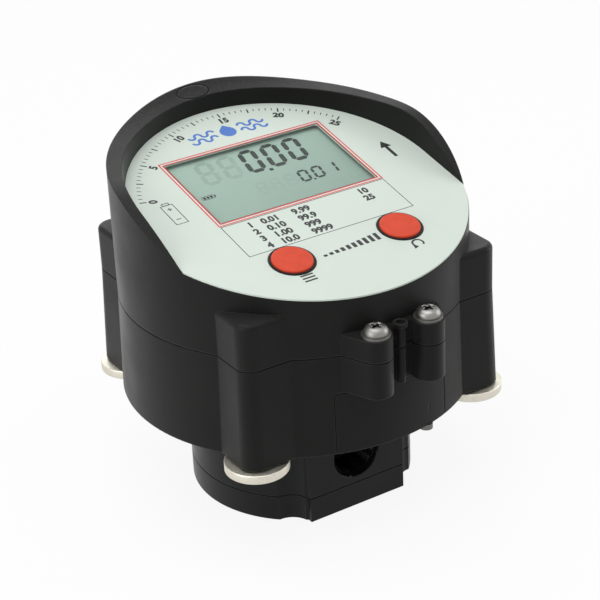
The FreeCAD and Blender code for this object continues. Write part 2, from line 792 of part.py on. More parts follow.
def cell_contacts():
    """In series: the chain starts behind the first cell and is led back beside the last."""
    front = tray_front + tray_wall
    back = tray_back - tray_wall - contact_thickness
    z0 = tray_bottom + tray_floor
    lead = block(tray_half - contact_thickness, tray_half, front, back, z0, z0 + return_height)
    lead = lead.fuse([contact_plate(end_cell_x - contact_half, tray_half, front),
                      contact_plate(tray_half - return_width, tray_half, back)])
    return group([contact_plate(-end_cell_x - contact_half, contact_half, front),
                  contact_plate(-end_cell_x - contact_half, -end_cell_x + contact_half, back),
                  contact_plate(-contact_half, end_cell_x + contact_half, back),
                  lead.removeSplitter()])


def bay_contacts(gap):
    """Contacts on the bay's stop wall, which reach through the tray to the cells' contacts."""
    half = bay_contact_half + gap
    z0 = tray_bottom + tray_floor + bay_contact_rise
    return [block(x - half, x + half, tray_back - tray_wall - gap + seat_gap, bay_back,
                  z0 - gap, z0 + bay_contact_height + gap) for x in (-end_cell_x, return_x)]


def drawer_screw():
    low = head_bottom - drawer_screw_head_height
    head = drawer_screw_tool(drawer_screw_head, low, head_bottom)
    return head.fuse(drawer_screw_tool(drawer_screw_radius, head_bottom, head_bottom + drawer_screw_length))


save("battery_drawer", battery_drawer())
save("battery_cells", group([battery_cell(i) for i in range(cell_count)]))
save("cell_contacts", cell_contacts())
save("bay_contacts", group(bay_contacts(0)))
save("drawer_screw", drawer_screw())
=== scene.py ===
"""Looks of a turbine flow meter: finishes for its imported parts, and the pieces that are
finer than the parts, such as cross-head screws, printing, display digits and cell jackets."""

import json
import math
from contextlib import contextmanager

import bpy
from mathutils import Matrix, Vector


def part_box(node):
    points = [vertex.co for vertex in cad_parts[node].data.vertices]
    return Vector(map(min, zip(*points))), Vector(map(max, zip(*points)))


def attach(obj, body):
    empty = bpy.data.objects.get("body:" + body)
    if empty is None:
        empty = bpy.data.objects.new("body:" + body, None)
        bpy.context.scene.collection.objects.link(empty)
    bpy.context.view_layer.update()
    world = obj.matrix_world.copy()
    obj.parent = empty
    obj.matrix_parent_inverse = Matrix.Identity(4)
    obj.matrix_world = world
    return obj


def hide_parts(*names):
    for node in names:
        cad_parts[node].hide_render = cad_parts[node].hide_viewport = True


bl_info = {
    "name": "Turbine Flow Meter",
    "version": (1, 0, 0),
    "blender": (4, 5, 0),
    "location": "View3D > Sidebar > Flow Meter",
    "description": "Dresses the packed parts of a turbine flow meter",
    "category": "Object",
}

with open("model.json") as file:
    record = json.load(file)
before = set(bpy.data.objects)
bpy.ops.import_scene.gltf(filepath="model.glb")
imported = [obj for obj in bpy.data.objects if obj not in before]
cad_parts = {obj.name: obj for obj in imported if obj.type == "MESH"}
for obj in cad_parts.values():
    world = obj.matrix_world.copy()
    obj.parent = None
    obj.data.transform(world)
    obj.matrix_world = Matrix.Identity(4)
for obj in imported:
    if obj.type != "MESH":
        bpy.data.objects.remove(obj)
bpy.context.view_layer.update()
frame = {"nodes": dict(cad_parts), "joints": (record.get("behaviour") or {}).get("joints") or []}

MM = 0.001
WELD = 1e-7            # corners nearer than this, in metres, are one
SMOOTH_BELOW = 30      # edges that turn by less, in degrees, are shaded smooth
SHARP_ABOVE = 50       # edges that turn by more, in degrees, are rounded off
FIGURE_SHARE = 0.7     # of the font's size, taken up by the height of a figure
BOLD = 0.05            # of the font's size, added round the figures' outlines


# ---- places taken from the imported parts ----
def face_frame():
    """Matrix of the sloping face: origin on its surface above the axis, X right, Y up the slope."""
    press = next(j for j in frame["joints"] if j["name"] == "function_press")
    normal = -Vector(press["axis"]).normalized()
    tilt = math.asin(-normal.y)
    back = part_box("face_label")[1]
    height = back.z - math.tan(tilt) * back.y
    return Matrix.Translation((0, 0, height)) @ Matrix.Rotation(tilt, 4, "X")


FACE = face_frame()
FROM_FACE = FACE.inverted()


def face_span(node):
    """Lowest and highest corner of a node, measured on the sloping face."""
    points = [FROM_FACE @ v.co for v in frame["nodes"][node].data.vertices]
    return (Vector([min(p[i] for p in points) for i in range(3)]),
            Vector([max(p[i] for p in points) for i in range(3)]))


# ---- what a user may change ----
def measure(name, text, value):
    return bpy.props.FloatProperty(name=name, description=text, unit="LENGTH", precision=5,
                                   min=0.0, default=value)


def colour(name, text, value):
    return bpy.props.FloatVectorProperty(name=name, description=text, subtype="COLOR", size=4,
                                         min=0.0, max=1.0, default=(*value, 1.0))


class MeterSizes(bpy.types.PropertyGroup):
    """Sizes of the fine detail."""

    ink: measure("Ink", "Thickness of the printing on the label", 0.02 * MM)
    border: measure("Border", "Width of the two lines round the display", 0.55 * MM)
    digit_height: measure("Main digits", "Height of the display's main digits", 16.0 * MM)
    small_digit_height: measure("Small digits", "Height of the display's lower digits", 8.0 * MM)
    grain: measure("Grain", "Size of the housing's moulded grain", 0.7 * MM)
    soft_edge: measure("Edge radius", "Radius that the moulded edges are shaded with", 0.8 * MM)
    thread_pitch: measure("Thread pitch", "Pitch of the thread in the two ports", 1.814 * MM)
    thread_crest: measure("Thread crest", "Radius of the port thread's inner edge", 9.3155 * MM)
    thread_root: measure("Thread root", "Radius of the port thread's bottom", 10.4775 * MM)


class MeterColours(bpy.types.PropertyGroup):
    """Colours of the finishes."""

    housing: colour("Housing", "Moulded head of the meter", (0.0048, 0.0054, 0.0046))
    body: colour("Flow body", "Anodised flow body and its cover", (0.0056, 0.0058, 0.0062))
    label: colour("Label", "Film on the sloping face", (0.615, 0.690, 0.625))
    print_dark: colour("Dark print", "Scale, table and symbols", (0.008, 0.009, 0.010))
    print_red: colour("Red print", "Lines round the display", (0.58, 0.030, 0.030))
    print_blue: colour("Blue print", "Pictogram above the display", (0.050, 0.150, 0.47))
    display: colour("Display", "Ground of the display", (0.430, 0.590, 0.505))
    digits: colour("Digits", "Dark segments of the display", (0.003, 0.008, 0.008))
    key: colour("Keys", "The two red keys", (0.66, 0.068, 0.030))
    nickel: colour("Nickel", "Plated washers under the head", (0.66, 0.63, 0.545))
    steel: colour("Steel", "Plated screws", (0.50, 0.49, 0.46))


def sizes():
    return bpy.context.scene.meter_sizes


def colours():
    return bpy.context.scene.meter_colours


# ---- modelling helpers ----
def deselect():
    bpy.ops.object.select_all(action="DESELECT")


def active():
    return bpy.context.view_layer.objects.active


def only(piece):
    deselect()
    piece.select_set(True)
    bpy.context.view_layer.objects.active = piece


@contextmanager
def editing(piece):
    """Edit mode on one piece, with all of it selected."""
    only(piece)
    bpy.ops.object.mode_set(mode="EDIT")
    bpy.ops.mesh.select_all(action="SELECT")
    yield
    bpy.ops.object.mode_set(mode="OBJECT")


def pick(piece, wanted, kind="FACE"):
    """In edit mode, select only the faces or edges whose centre and normal are wanted."""
    bpy.ops.mesh.select_mode(type=kind)
    bpy.ops.mesh.select_all(action="DESELECT")
    bpy.ops.object.mode_set(mode="OBJECT")
    mesh = piece.data
    if kind == "FACE":
        for face in mesh.polygons:
            face.select = wanted(face.center, face.normal)
    else:
        for edge in mesh.edges:
            ends = [mesh.vertices[i].co for i in edge.vertices]
            edge.select = wanted(ends[0], ends[1])
    bpy.ops.object.mode_set(mode="EDIT")


def extrude(height):
    """In edit mode, raise what is selected."""
    bpy.ops.mesh.extrude_region_move(TRANSFORM_OT_translate={"value": (0, 0, height)})


def outward(piece):
    with editing(piece):
        bpy.ops.mesh.remove_doubles(threshold=WELD)
        bpy.ops.mesh.normals_make_consistent(inside=False)


def apply_modifier(piece, kind, **settings):
    only(piece)
    modifier = piece.modifiers.new(kind.title(), kind)
    for key, value in settings.items():
        setattr(modifier, key, value)
    bpy.ops.object.modifier_apply(modifier=modifier.name)


def soften(piece, width, segments):
    """Rounds the sharp edges of a piece."""
    apply_modifier(piece, "BEVEL", width=width, segments=segments, limit_method="ANGLE",
                   angle_limit=math.radians(SHARP_ABOVE))


def cut(piece, cutter):
    """Takes the cutter's shape out of the piece; the cutter goes."""
    apply_modifier(piece, "BOOLEAN", operation="DIFFERENCE", object=cutter, solver="EXACT")
    bpy.data.objects.remove(cutter)


def cylinder(radius, low, high, corners):
    """Upright cylinder on the axis, between two heights."""
    deselect()
    bpy.ops.mesh.primitive_cylinder_add(vertices=corners, radius=radius, depth=high - low,
                                        location=(0, 0, (low + high) / 2))
    bpy.ops.object.transform_apply(location=True)
    return active()


def packed_copy(node_name, name):
    """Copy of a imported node, which may be reshaped."""
    packed = frame["nodes"][node_name]
    piece = packed.copy()
    piece.data = packed.data.copy()
    piece.name = piece.data.name = name
    bpy.context.scene.collection.objects.link(piece)
    return piece


def weld(piece):
    """Makes one corner of those that lie on each other."""
    with editing(piece):
        bpy.ops.mesh.remove_doubles(threshold=WELD)


def copied(piece, places):
    """A copy of the piece, with its own mesh, at each place; the model of it goes."""
    made = []
    for place in places:
        twin = piece.copy()
        twin.data = piece.data.copy()
        twin.data.transform(place)
        bpy.context.scene.collection.objects.link(twin)
        made.append(twin)
    bpy.data.objects.remove(piece)
    return made


def joined(pieces, name):
    """One object, at the origin, of several."""
    deselect()
    for piece in pieces:
        piece.data.transform(piece.matrix_world)
        piece.matrix_world = Matrix.Identity(4)
        piece.select_set(True)
    bpy.context.view_layer.objects.active = pieces[0]
    if len(pieces) > 1:
        bpy.ops.object.join()
    whole = active()
    whole.name = name
    whole.data.name = name
    return whole


def kept(piece, body, material, replaces=()):
    """Gives a finished piece its material and its place in the frame."""
    piece.data.materials.clear()
    piece.data.materials.append(material)
    only(piece)
    bpy.ops.object.shade_smooth_by_angle(angle=math.radians(SMOOTH_BELOW))
    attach(piece, body)
    if replaces:
        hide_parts(*replaces)


def dress(material, *nodes):
    """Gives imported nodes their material."""
    for name in nodes:
        mesh = frame["nodes"][name].data
        mesh.materials.clear()
        mesh.materials.append(material)


def at(x, y, turn=0.0):
    """Place in millimetres on the face, turned by degrees."""
    return Matrix.Translation((x * MM, y * MM, 0)) @ Matrix.Rotation(math.radians(turn), 4, "Z")


# ---- flat print shapes, drawn in millimetres round the origin ----
def thicken(piece):
    with editing(piece):
        extrude(sizes().ink)
    outward(piece)
    return piece


def flat_bar(width, height, corner=0.0):
    deselect()
    bpy.ops.mesh.primitive_plane_add(size=1)
    piece = active()
    with editing(piece):
        bpy.ops.transform.resize(value=(width * MM, height * MM, 1))
        if corner:
            bpy.ops.mesh.bevel(offset=corner * MM, segments=4, affect="VERTICES")
    return piece


def bar(width, height, corner=0.0):
    return thicken(flat_bar(width, height, corner))


def outlined(piece, line):
    """Only the rim of a flat shape, as wide as the line."""
    with editing(piece):
        bpy.ops.mesh.inset(thickness=line * MM)
        bpy.ops.mesh.delete(type="FACE")
    return thicken(piece)


def flat_disc(radius, corners=40):
    deselect()
    bpy.ops.mesh.primitive_circle_add(vertices=corners, radius=radius * MM, fill_type="NGON")
    return active()


def arrow_head(width):
    piece = flat_disc(width / 2, corners=3)
    with editing(piece):
        bpy.ops.mesh.bevel(offset=0.2 * MM, segments=2, affect="VERTICES")
    return thicken(piece)


def open_ring(radius, line, start):
    """Ring without the part below a line; start is that line's height as a share of the radius."""
    piece = flat_disc(radius)
    with editing(piece):
        bpy.ops.mesh.inset(thickness=line * MM)
        bpy.ops.mesh.delete(type="FACE")
        bpy.ops.mesh.select_all(action="SELECT")
        bpy.ops.mesh.bisect(plane_co=(0, start * radius * MM, 0), plane_no=(0, 1, 0), clear_inner=True)
    return thicken(piece)


def drop(radius):
    """Drop: a square on its corner, whose three lower corners are rounded off."""
    piece = flat_bar(2 * radius, 2 * radius)
    with editing(piece):
        bpy.ops.mesh.select_mode(type="VERT")
        bpy.ops.mesh.select_all(action="DESELECT")
        bpy.ops.object.mode_set(mode="OBJECT")
        for corner in piece.data.vertices:
            corner.select = corner.co.x + corner.co.y < radius * MM
        bpy.ops.object.mode_set(mode="EDIT")
        bpy.ops.mesh.bevel(offset=0.98 * radius * MM, segments=10, affect="VERTICES")
        bpy.ops.mesh.remove_doubles(threshold=0.01 * MM)
    piece.data.transform(Matrix.Rotation(math.radians(45), 4, "Z"))
    return thicken(piece)


def number(text, height, align="CENTER"):
    """Plain bold figures, as high as told."""
    deselect()
    bpy.ops.object.text_add()
    piece = active()
    font = piece.data
    font.body = text
    font.align_x = align
    font.align_y = "CENTER"
    font.size = height * MM / FIGURE_SHARE
    font.offset = BOLD * font.size
    font.extrude = sizes().ink / 2
    font.resolution_u = 3
    bpy.ops.object.convert(target="MESH")
    piece = active()
    outward(piece)
    return piece


def placed(piece, place):
    piece.data.transform(place)
    return piece


def middle(low, high):
    """Move to the middle between two corners on the face."""
    return Matrix.Translation(((low.x + high.x) / 2, (low.y + high.y) / 2, 0))


def rim(low, high, gap, line):
    """Thin frame round an opening, at a gap in millimetres from it."""
    width = (high.x - low.x) / MM + 2 * gap
    height = (high.y - low.y) / MM + 2 * gap
    return placed(outlined(flat_bar(width, height), line), middle(low, high))


# ---- shared surface effects ----
def group(name, inputs, outputs):
    """New shader group; inputs are (name, default), outputs are (name, kind)."""
    tree = bpy.data.node_groups.new(name, "ShaderNodeTree")
    for label, value in inputs:
        socket = tree.interface.new_socket(label, in_out="INPUT", socket_type="NodeSocketFloat")
        socket.default_value = value
    for label, kind in outputs:
        tree.interface.new_socket(label, in_out="OUTPUT", socket_type=kind)
    return tree, tree.nodes.new("NodeGroupInput"), tree.nodes.new("NodeGroupOutput")


def node(tree, kind, **settings):
    made = tree.nodes.new(kind)
    for key, value in settings.items():
        if key in made.inputs:
            made.inputs[key].default_value = value
        else:
            setattr(made, key, value)
    return made


def math_node(tree, operation, first, second, clamp=False):
    made = node(tree, "ShaderNodeMath", operation=operation, use_clamp=clamp)
    for socket, value in zip(made.inputs, (first, second)):
        if isinstance(value, (int, float)):
            socket.default_value = value
        else:
            tree.links.new(value, socket)
    return made.outputs[0]


def object_point(tree):
    return tree.nodes.new("ShaderNodeTexCoord").outputs["Object"]


def parts_of(tree, vector):
    """The vector's X, Y and Z."""
    split = tree.nodes.new("ShaderNodeSeparateXYZ")
    tree.links.new(vector, split.inputs[0])
    return split.outputs


def noise(tree, scale, detail=3.0, roughness=0.5):
    made = node(tree, "ShaderNodeTexNoise", Detail=detail, Roughness=roughness)
    tree.links.new(object_point(tree), made.inputs["Vector"])
    if isinstance(scale, (int, float)):
        made.inputs["Scale"].default_value = scale
    else:
        tree.links.new(scale, made.inputs["Scale"])
    return made.outputs["Fac"]


def stretch(tree, value, low, high, to_low, to_high):
    made = node(tree, "ShaderNodeMapRange")
    tree.links.new(value, made.inputs["Value"])
    for key, limit in (("From Min", low), ("From Max", high), ("To Min", to_low), ("To Max", to_high)):
        made.inputs[key].default_value = limit
    return made.outputs["Result"]


def make_grain():
    """Fine moulded or cast grain, with a slow drift that keeps large faces from looking flat."""
    tree, start, end = group("surface_grain", [("Size", 0.5), ("Drift", 30.0)],
                             [("Height", "NodeSocketFloat"), ("Drift", "NodeSocketFloat")])
    density = math_node(tree, "DIVIDE", 1000.0, start.outputs["Size"])
    fine = noise(tree, density, detail=2.0)
    coarse = noise(tree, math_node(tree, "MULTIPLY", density, 0.23), detail=3.0)
    height = math_node(tree, "ADD", math_node(tree, "MULTIPLY", fine, 0.65),
                       math_node(tree, "MULTIPLY", coarse, 0.35))
    tree.links.new(height, end.inputs["Height"])
    tree.links.new(noise(tree, start.outputs["Drift"], detail=4.0, roughness=0.6), end.inputs["Drift"])
    return tree


def make_edge():
    """Rounded shading of edges, and a mask that is 1 on them."""
    tree, start, end = group("worn_edge", [("Radius", 0.0004)],
                             [("Normal", "NodeSocketVector"), ("Edge", "NodeSocketFloat")])
    rounded = node(tree, "ShaderNodeBevel", samples=6)
    tree.links.new(start.outputs["Radius"], rounded.inputs["Radius"])
    plain = tree.nodes.new("ShaderNodeNewGeometry")
    turn = node(tree, "ShaderNodeVectorMath", operation="DOT_PRODUCT")
    tree.links.new(rounded.outputs["Normal"], turn.inputs[0])
    tree.links.new(plain.outputs["Normal"], turn.inputs[1])
    broken = stretch(tree, noise(tree, 420.0, detail=4.0, roughness=0.65), 0.35, 0.7, 0.35, 1.0)
    edge = stretch(tree, turn.outputs["Value"], 0.985, 0.86, 0.0, 1.0)
    tree.links.new(rounded.outputs["Normal"], end.inputs["Normal"])
    tree.links.new(math_node(tree, "MULTIPLY", edge, broken, clamp=True), end.inputs["Edge"])
    return tree


def make_dust_and_top_light():
    """Faint dust and painted top light: a mask on faces that look up, broken by noise."""
    tree, start, end = group("settled_dust", [("Amount", 0.1)], [("Mask", "NodeSocketFloat")])
    normal = tree.nodes.new("ShaderNodeNewGeometry").outputs["Normal"]
    facing = stretch(tree, parts_of(tree, normal)["Z"], 0.55, 1.0, 0.0, 1.0)
    specks = stretch(tree, noise(tree, 900.0, detail=5.0, roughness=0.75), 0.5, 0.72, 0.0, 1.0)
    clouds = stretch(tree, noise(tree, 60.0, detail=3.0), 0.35, 0.7, 0.15, 1.0)
    both = math_node(tree, "MULTIPLY", specks, clouds)
    mask = math_node(tree, "MULTIPLY", facing, both)
    tree.links.new(math_node(tree, "MULTIPLY", mask, start.outputs["Amount"]), end.inputs["Mask"])
    return tree


def make_turning():
    """Rings left by turning about +Z, as a height, and streaks for tone and gloss."""
    tree, start, end = group("turning_marks", [("Pitch", 0.15)],
                             [("Height", "NodeSocketFloat"), ("Streak", "NodeSocketFloat")])
    rings = node(tree, "ShaderNodeTexNoise", noise_dimensions="1D", Detail=4.0, Roughness=0.7)
    tree.links.new(parts_of(tree, object_point(tree))["Z"], rings.inputs["W"])
    tree.links.new(math_node(tree, "DIVIDE", 1000.0, start.outputs["Pitch"]), rings.inputs["Scale"])
    tree.links.new(rings.outputs["Fac"], end.inputs["Height"])
    tree.links.new(noise(tree, 350.0, detail=5.0, roughness=0.7), end.inputs["Streak"])
    return tree


class Finish:
    """A material in the making: a Principled shader with room for the shared effects."""

    effects = {}

    def __init__(self, name, metallic=0.0, specular=0.5):
        self.material = bpy.data.materials.new(name)
        self.material.use_nodes = True
        self.tree = self.material.node_tree
        self.shader = self.tree.nodes["Principled BSDF"]
        self.shader.inputs["Metallic"].default_value = metallic
        self.shader.inputs["Specular IOR Level"].default_value = specular
        self.base = None
        self.normal = None

    def effect(self, key, **values):
        made = self.tree.nodes.new("ShaderNodeGroup")
        made.node_tree = Finish.effects[key]
        for label, value in values.items():
            made.inputs[label].default_value = value
        return made.outputs

    def colour(self, value):
        """Start from one colour."""
        mix = node(self.tree, "ShaderNodeMix", data_type="RGBA")
        mix.inputs["Factor"].default_value = 0.0
        mix.inputs["A"].default_value = value
        self.base = mix.outputs["Result"]
        return self

    def over(self, value, mask, share=1.0):
        """Lay a colour over the base where the mask says."""
        mix = node(self.tree, "ShaderNodeMix", data_type="RGBA")
        factor = math_node(self.tree, "MULTIPLY", mask, share, clamp=True)
        self.tree.links.new(factor, mix.inputs["Factor"])
        self.tree.links.new(self.base, mix.inputs["A"])
        mix.inputs["B"].default_value = value
        self.base = mix.outputs["Result"]
        return self

    def patches(self, value, drift, low, high, share=0.5):
        """Lay a colour over the base where a slow drift is high."""
        return self.over(value, stretch(self.tree, drift, low, high, 0.0, 1.0), share)

    def worn(self, value, radius, share):
        """Round the shading of the edges and lay a colour over them, which stands for wear and for
        painted highlight.
        """
        rounded = self.effect("edge", Radius=radius)
        self.normal = rounded["Normal"]
        return self.over(value, rounded["Edge"], share)

    def bump(self, height, depth):
        """Raise the surface by depth (millimetres) times the height."""
        bump = node(self.tree, "ShaderNodeBump", Strength=1.0, Distance=depth * MM)
        self.tree.links.new(height, bump.inputs["Height"])
        if self.normal is not None:
            self.tree.links.new(self.normal, bump.inputs["Normal"])
        self.normal = bump.outputs["Normal"]
        return self

    def rough(self, value):
        self.shader.inputs["Roughness"].default_value = value
        return self

    def uneven(self, drift, low, high):
        """Roughness that follows a slow drift between two values."""
        value = stretch(self.tree, drift, 0.3, 0.7, low, high)
        self.tree.links.new(value, self.shader.inputs["Roughness"])
        return self

    def done(self):
        if self.base is not None:
            self.tree.links.new(self.base, self.shader.inputs["Base Color"])
        if self.normal is not None:
            self.tree.links.new(self.normal, self.shader.inputs["Normal"])
        return self.material


def tinted(value, factor):
    return (*(min(1.0, c * factor) for c in value[:3]), 1.0)


def moulded(name, value, grain, edge, gloss, dust=0.0, specular=0.12, sheen=0.0):
    """Moulded plastic: grain, paler patches, paler edges (partly wear, partly painted highlight), dust
    with painted top light on faces that look up; gloss is its least and most roughness.
    """
    finish = Finish(name, specular=specular).colour(value)
    surface = finish.effect("grain", Size=grain / MM, Drift=35.0)
    finish.shader.inputs["Sheen Weight"].default_value = sheen
    finish.shader.inputs["Sheen Roughness"].default_value = 0.45
    finish.patches(tinted(value, 1.6), surface["Drift"], 0.4, 0.75)
    if edge:
        # paler edges: partly wear, partly painted highlight
        finish.worn(tinted(value, 7.0), edge, 0.45)
    if dust:
        # pale specks on faces that look up: partly dust, partly painted top light
        finish.over((0.30, 0.31, 0.29, 1), finish.effect("dust", Amount=dust)["Mask"])
    finish.bump(surface["Height"], 0.07)
    return finish.uneven(surface["Drift"], *gloss).done()


def plated(name, value, gloss, pitch=0.12):
    """Plated or bare metal: turning marks, streaks and brighter edges; gloss is as for plastic."""
    finish = Finish(name, metallic=1.0).colour(value)
    marks = finish.effect("turning", Pitch=pitch)
    finish.patches(tinted(value, 0.75), marks["Streak"], 0.45, 0.75, 0.45)
    finish.worn(tinted(value, 1.25), 0.15 * MM, 0.8)
    finish.bump(marks["Height"], 0.004)
    return finish.uneven(marks["Streak"], *gloss).done()


def ink(name, value, specular, drift, paler, share, rough):
    """Flat print or segment: one colour with slow paler patches, laid on by a share."""
    finish = Finish(name, specular=specular).colour(value)
    finish.over(tinted(value, paler), finish.effect("grain", Drift=drift)["Drift"], share)
    return finish.rough(rough).done()


# ---- operators ----
class DressPiece(bpy.types.Operator):
    """Base of the operators that dress or model one group of pieces."""

    bl_options = {"REGISTER", "UNDO"}

    def execute(self, context):
        self.make()
        return {"FINISHED"}


class MakeEffects(DressPiece):
    """Build the surface effects that the finishes share"""

    bl_idname = "meter.make_effects"
    bl_label = "Shared Effects"

    def make(self):
        Finish.effects = {"grain": make_grain(), "edge": make_edge(),
                          "dust": make_dust_and_top_light(), "turning": make_turning()}


class DressHead(DressPiece):
    """Finish the two shells, the battery drawer's front and the seal between the shells"""

    bl_idname = "meter.dress_head"
    bl_label = "Head Shells"

    def make(self):
        # the shells' dust amount also paints top light on their upward faces
        shell = moulded("housing_black", colours().housing, sizes().grain, sizes().soft_edge,
                        (0.36, 0.52), dust=0.10, sheen=0.11)
        dress(shell, "upper_housing", "lower_housing", "battery_drawer")
        seal = moulded("seal_rubber", (0.006, 0.006, 0.006, 1), 0.6 * MM, 0, (0.75, 0.9))
        dress(seal, "housing_gasket", "chamber_o_ring")


class DressFlowBody(DressPiece):
    """Finish the flow body, with the thread in its ports, and its bottom cover"""

    bl_idname = "meter.dress_flow_body"
    bl_label = "Flow Body"

    TURNS = 7                 # of the thread in a port
    PORT_HEIGHT = 24.2 * MM   # of the ports above the base
    GROOVE_SHARE = 0.991      # width left inside the groove, as a share of the cover's
    GROOVE_HEIGHT = 0.6 * MM
    GROOVE_RISE = 0.1 * MM    # of the groove's middle above the joint

    def thread_cutter(self):
        """Closed plug that swells once per turn of the thread."""
        crest, root = sizes().thread_crest, sizes().thread_root
        pitch = sizes().thread_pitch
        cutter = flat_disc((crest - 0.1 * MM) / MM, corners=72)
        with editing(cutter):
            for i in range(self.TURNS):
                for swell in (root / crest, crest / root):
                    extrude(pitch / 2)
                    bpy.ops.transform.resize(value=(swell, swell, 1))
        outward(cutter)
        return cutter

    def joint_cutter(self):
        """Slab at the joint with the cover, open where a slightly smaller cover would stand."""
        core = packed_copy("bottom_cover", "joint_core")
        core.data.transform(Matrix.Diagonal((self.GROOVE_SHARE, self.GROOVE_SHARE, 3.0, 1.0)))
        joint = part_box("meter_body")[0].z
        deselect()
        bpy.ops.mesh.primitive_cube_add(size=1)
        slab = active()
        with editing(slab):
            bpy.ops.transform.resize(value=(0.2, 0.2, self.GROOVE_HEIGHT))
            bpy.ops.transform.translate(value=(0, 0, joint + self.GROOVE_RISE))
        weld(core)
        cut(slab, core)
        return slab

    def threaded(self):
        """Copy of the flow body with the thread cut into both ports and a fine groove at its foot."""
        body = packed_copy("meter_body", "threaded_flow_body")
        weld(body)
        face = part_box("meter_body")[1].y
        ports = [Matrix.Translation((0, side * face, self.PORT_HEIGHT)) @
                 Matrix.Rotation(math.radians(90 * side), 4, "X") for side in (-1, 1)]
        for cutter in copied(self.thread_cutter(), ports) + [self.joint_cutter()]:
            cut(body, cutter)
        with editing(body):
            bpy.ops.mesh.dissolve_degenerate(threshold=0.002 * MM)
            bpy.ops.mesh.dissolve_limited(angle_limit=math.radians(0.3))
        return body

    def make(self):
        value = colours().body
        finish = Finish("black_anodised", specular=0.16).colour(value)
        surface = finish.effect("grain", Size=0.22, Drift=45.0)
        finish.patches(tinted(value, 2.2), surface["Drift"], 0.45, 0.75)
        finish.worn((0.10, 0.10, 0.095, 1), 0.4 * MM, 0.5)
        finish.bump(surface["Height"], 0.006)
        anodised = finish.uneven(surface["Drift"], 0.26, 0.40).done()
        kept(self.threaded(), "meter", anodised, ["meter_body"])
        dress(anodised, "bottom_cover")


class DressInside(DressPiece):
    """Finish the turbine, the sensor, the circuit board and the other inner pieces"""

    bl_idname = "meter.dress_inside"
    bl_label = "Inner Pieces"

    def make(self):
        dress(plated("zinc_steel", colours().steel, (0.22, 0.38)),
              "cover_screws", "rotor_shaft", "board_screws", "corner_screws", "head_screws")
        dress(plated("dull_steel", tinted(colours().steel, 0.32), (0.42, 0.58)),
              "drawer_screw", "front_washers")
        dress(plated("bush_brass", (0.72, 0.50, 0.20, 1), (0.25, 0.4)), "lower_bush", "upper_bush")
        dress(plated("magnet_nickel", (0.66, 0.64, 0.60, 1), (0.15, 0.25)),
              "rotor_magnets", "cell_contacts", "bay_contacts")
        dress(moulded("white_acetal", (0.78, 0.78, 0.74, 1), 0.5 * MM, 0, (0.32, 0.42)), "turbine_rotor")
        dress(moulded("chip_black", (0.018, 0.018, 0.019, 1), 0.3 * MM, 0.2 * MM, (0.45, 0.6)),
              "hall_sensor", "tact_switches", "function_plunger", "reset_plunger")
        dress(moulded("board_green", (0.012, 0.10, 0.045, 1), 0.25 * MM, 0, (0.25, 0.4)),
              "circuit_board", "sensor_board")


class MakeFrontScrews(DressPiece):
    """Model the two cross-head screws on the front bosses"""

    bl_idname = "meter.make_front_screws"
    bl_label = "Front Screws"

    HEAD_RADIUS = 4.75 * MM
    SHANK_RADIUS = 2.45 * MM
    DOME = 0.86                       # share of the head's height that its dome takes
    TURNS = (20, 110)                 # of the recess's two wings, in degrees
    WING_SIZE = (6.4 * MM, 1.8 * MM)  # length and width at the head's top
    WING_TAPER = (0.55, 0.75, 1)      # of the same at its foot
    RECESS_DEPTH = 2.2 * MM
    FLOOR_DEPTH = 1.6 * MM            # of the middle of the recess's dark floor, a sheet of painted shade
    FLOOR_THICKNESS = 1.0 * MM

    def wing(self, top, turn, depth):
        """Wing of the crossed recess, narrower as it goes down; a shallow one is a dark sheet of painted
        shade at its floor.
        """
        deselect()
        bpy.ops.mesh.primitive_cube_add(size=1, location=(0, 0, top))
        wing = active()
        with editing(wing):
            bpy.ops.transform.resize(value=(*self.WING_SIZE, 2 * depth))
            pick(wing, lambda c, n: n.z < -0.9)
            bpy.ops.transform.resize(value=self.WING_TAPER, center_override=(0, 0, top))
        wing.data.transform(wing.matrix_world)
        wing.data.transform(Matrix.Rotation(math.radians(turn), 4, "Z"))
        wing.matrix_world = Matrix.Identity(4)
        return wing

    def screw(self, centre, low, seat, top):
        """Pan head over a shank, with a crossed recess."""
        head = cylinder(self.HEAD_RADIUS, seat, top, corners=64)
        with editing(head):
            pick(head, lambda a, b: min(a.z, b.z) > top - 0.01 * MM, "EDGE")
            bpy.ops.mesh.bevel(offset=self.DOME * (top - seat), segments=12, profile=0.5)
            pick(head, lambda c, n: n.z < -0.9)
            bpy.ops.mesh.inset(thickness=self.HEAD_RADIUS - self.SHANK_RADIUS)
            extrude(low - seat)
        for turn in self.TURNS:
            cut(head, self.wing(top, turn, self.RECESS_DEPTH))
        soften(head, 0.12 * MM, segments=2)
        return placed(head, Matrix.Translation((*centre, 0)))

    def make(self):
        low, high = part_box("front_screws")
        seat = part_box("front_washers")[1].z
        reach = (high.y - low.y) / 2
        centres = [(x, low.y + reach) for x in (low.x + reach, high.x - reach)]
        screws = [self.screw(centre, low.z, seat, high.z) for centre in centres]
        steel = plated("bright_screw", tinted(colours().steel, 0.50), (0.34, 0.50), pitch=0.08)
        kept(joined(screws, "cross_head_screws"), "meter", steel, ["front_screws"])
        floor = high.z - self.FLOOR_DEPTH
        floors = [placed(self.wing(floor, turn, self.FLOOR_THICKNESS), Matrix.Translation((*centre, 0)))
                  for centre in centres for turn in self.TURNS]
        # dark cross sheets of painted shade sit in the screws' recesses
        recess_shade = moulded("recess_dark", (0.004, 0.004, 0.004, 1), 0.3 * MM, 0, (0.7, 0.9), specular=0.1)
        kept(joined(floors, "screw_recess_floors"), "meter", recess_shade)


